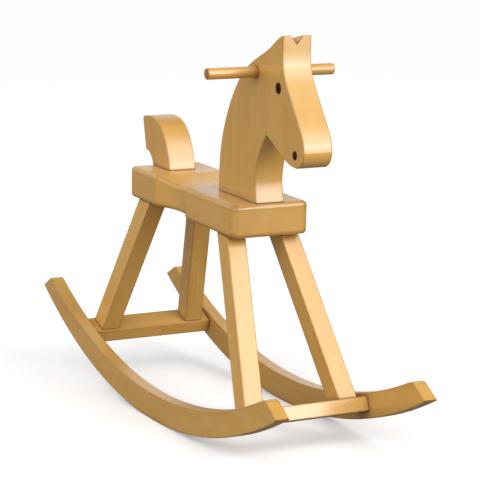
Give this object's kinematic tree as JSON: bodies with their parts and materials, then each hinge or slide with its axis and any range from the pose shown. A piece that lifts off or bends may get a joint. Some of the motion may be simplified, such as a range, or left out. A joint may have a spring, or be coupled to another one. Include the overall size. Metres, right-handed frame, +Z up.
{
  "type": "rocking horse",
  "caption": "Toddler's wooden rocking horse: sawn horse-head neck with a cross handle, waisted seat, flat tail, splayed legs on cross rails and two curved rockers.",
  "frame": {"origin": "on the floor, midway between the two places where the rockers touch it", "axes": "+X forward toward the head, +Y to the horse's left along the handle bar, +Z up from the floor"},
  "size_m": [0.8414, 0.243, 0.573],
  "materials": {
    "lacquered_beech": "clear satin lacquer over pale beech",
    "dark_plug": "dark stained hardwood plugs under the same lacquer",
    "raw_dowel": "unfinished fluted beech dowel, glued in and hidden",
    "screw_steel": "zinc-plated wood screw, hidden under the seat"
  },
  "bodies": {
    "horse": {"seat_plank": "lacquered_beech", "head_and_neck": "lacquered_beech", "tail_block": "lacquered_beech", "handle_bar": "lacquered_beech", "front_cross_rail": "lacquered_beech", "rear_cross_rail": "lacquered_beech", "rear_right_leg": "lacquered_beech", "rear_left_leg": "lacquered_beech", "front_right_leg": "lacquered_beech", "front_left_leg": "lacquered_beech", "right_rocker": "lacquered_beech", "left_rocker": "lacquered_beech", "right_eye_plug": "dark_plug", "left_eye_plug": "dark_plug", "right_nostril_plug": "dark_plug", "left_nostril_plug": "dark_plug", "neck_dowels": "raw_dowel", "tail_dowels": "raw_dowel", "rear_leg_top_dowels": "raw_dowel", "rear_leg_foot_dowels": "raw_dowel", "rear_rail_dowels": "raw_dowel", "front_leg_top_dowels": "raw_dowel", "front_leg_foot_dowels": "raw_dowel", "front_rail_dowels": "raw_dowel", "neck_screws": "screw_steel", "tail_screw": "screw_steel"}
  },
  "joints": []
}
